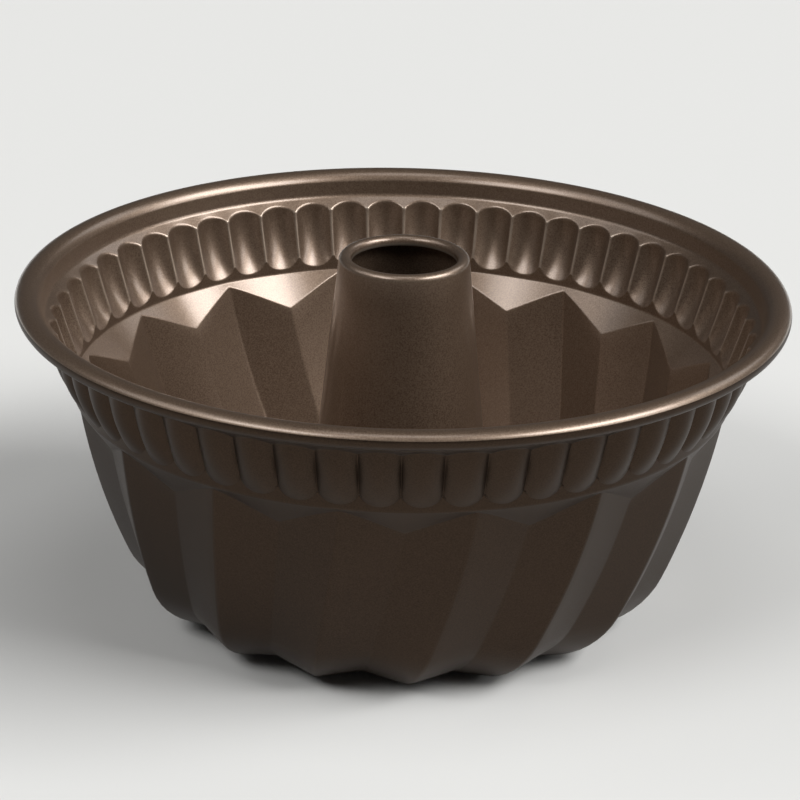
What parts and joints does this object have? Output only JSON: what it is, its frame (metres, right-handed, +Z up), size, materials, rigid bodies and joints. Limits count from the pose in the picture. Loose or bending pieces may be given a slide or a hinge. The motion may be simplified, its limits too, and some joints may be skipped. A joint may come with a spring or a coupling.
{
  "type": "fluted ring cake tin",
  "caption": "Deep ring cake tin in dark bronze non-stick steel, with a curled rim, a scalloped band, twisted flutes and an open conical centre tube.",
  "frame": {"origin": "The middle of the base, on the surface the tin stands on.", "axes": "+Z is up, along the tin's axis and out of its open mouth. -Y is the side that faces the camera in the picture, and +X is to its right."},
  "size_m": [0.23, 0.23, 0.11],
  "materials": {
    "shell_coating": "Dark bronze-brown metallic non-stick coating on drawn sheet steel, satin, with a fine metallic fleck",
    "tube_coating": "The same dark bronze-brown metallic non-stick coating, satin, on the drawn cone of the tube"
  },
  "bodies": {
    "root": {"fluted_shell": "shell_coating", "centre_tube": "tube_coating"}
  },
  "joints": []
}
